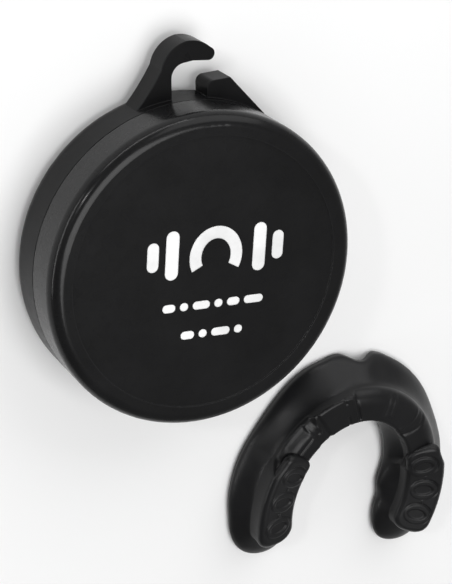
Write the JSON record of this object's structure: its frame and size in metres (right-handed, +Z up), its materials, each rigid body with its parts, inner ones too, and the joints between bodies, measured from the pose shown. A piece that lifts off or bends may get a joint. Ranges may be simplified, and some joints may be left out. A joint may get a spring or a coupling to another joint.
{
  "type": "mouthguard with case",
  "caption": "Round hinged storage case with an open hanger hook, and a sports mouthguard with a soft tooth channel and ringed bite pads lying beside it.",
  "frame": {"origin": "centre of the case's flat bottom face", "axes": "+Z up, from the case's base to its lid; +Y from the hinge towards the hanger hook; the mouthguard lies at +X and -Y"},
  "size_m": [0.1245, 0.1593, 0.025],
  "materials": {
    "case_shell": "satin moulded polypropylene, black",
    "lid_shell": "satin moulded polypropylene, black, with a white print",
    "hinge_pin": "plain black acetal",
    "guard_frame": "satin moulded EVA, black",
    "guard_liner": "soft satin EVA, black",
    "bite_pad": "satin moulded rubber, black"
  },
  "bodies": {
    "case": {"case_base": "case_shell", "hinge_pin": "hinge_pin"},
    "lid": {"case_lid": "lid_shell"},
    "guard": {"guard_frame": "guard_frame", "guard_liner": "guard_liner", "bite_pad_left": "bite_pad", "bite_pad_right": "bite_pad"}
  },
  "joints": [
    {"name": "lid_hinge", "type": "hinge", "parent": "case", "child": "lid", "pos_m": [0, -0.0407, 0.01315], "axis": [1, 0, 0], "range_deg": [0, 115]},
    {"name": "guard_lift", "type": "slide", "parent": "case", "child": "guard", "axis": [0, 0, 1], "range_m": [0, 0.1]}
  ]
}
